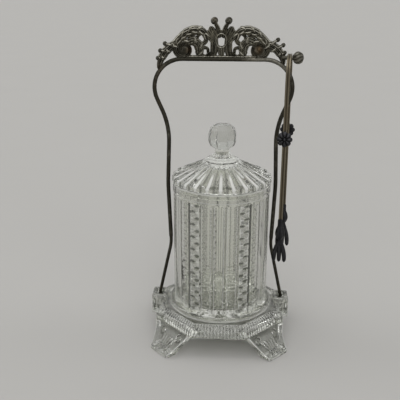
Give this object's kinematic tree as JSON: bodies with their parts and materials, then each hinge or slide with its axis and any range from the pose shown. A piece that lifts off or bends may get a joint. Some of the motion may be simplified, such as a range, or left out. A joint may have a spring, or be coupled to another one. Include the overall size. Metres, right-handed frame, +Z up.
{
  "type": "pickle castor",
  "caption": "Pickle castor: fluted glass jar with knobbed lift-off lid in a footed octagonal glass stand, with a swinging wire bail, cast scroll crest and hanging spring tongs.",
  "frame": {"origin": "centre of the stand on the table, at the height of the feet's flat undersides", "axes": "+Z up, the front of the castor faces -Y, and the bail stands in the XZ plane with the tongs on the +X side"},
  "size_m": [0.1172, 0.1104, 0.2571],
  "materials": {
    "clear_glass": "clear pressed glass, fire-polished, with fine moulded ribs and ladder notches",
    "bail_silver": "tarnished silver plate, darkened in the recesses, with brownish spots",
    "tong_strip": "worn silver-plated spring strip with a brownish tarnish",
    "tong_casting": "blackened casting, softly shining on the high points"
  },
  "bodies": {
    "stand": {"glass_base": "clear_glass"},
    "jar": {"glass_jar": "clear_glass"},
    "lid": {"glass_lid": "clear_glass"},
    "bail": {"bail_arch": "bail_silver", "left_lower_leg": "bail_silver", "right_lower_leg": "bail_silver", "crest": "bail_silver", "tong_hook": "bail_silver"},
    "tongs": {"tong_bow": "tong_strip"},
    "front_arm": {"front_tong_arm": "tong_strip", "front_tong_rosette": "tong_casting", "front_tong_claw": "tong_casting"},
    "rear_arm": {"rear_tong_arm": "tong_strip", "rear_tong_rosette": "tong_casting", "rear_tong_claw": "tong_casting"}
  },
  "joints": [
    {"name": "jar_lift", "type": "slide", "parent": "stand", "child": "jar", "axis": [0, 0, 1], "range_m": [0, 0.02]},
    {"name": "lid_lift", "type": "slide", "parent": "jar", "child": "lid", "axis": [0, 0, 1], "range_m": [0, 0.025]},
    {"name": "bail_swing", "type": "hinge", "parent": "stand", "child": "bail", "pos_m": [0, 0, 0.0275], "axis": [1, 0, 0], "range_deg": [-35, 35]},
    {"name": "tongs_lift", "type": "slide", "parent": "bail", "child": "tongs", "axis": [0, 0, 1], "range_m": [0, 0.015]},
    {"name": "front_arm_squeeze", "type": "hinge", "parent": "tongs", "child": "front_arm", "pos_m": [0.04759, -0.01286, 0.21732], "axis": [0.9903, -0.1392, 0], "range_deg": [0, 4.5], "stiffness_Nm_per_rad": 1},
    {"name": "rear_arm_squeeze", "type": "hinge", "parent": "tongs", "child": "rear_arm", "pos_m": [0.05121, 0.01286, 0.21732], "axis": [0.9903, -0.1392, 0], "range_deg": [-4.5, 0], "stiffness_Nm_per_rad": 1}
  ],
  "couplings": [
    {"joint": "rear_arm_squeeze", "follows": "front_arm_squeeze", "ratio": -1}
  ]
}
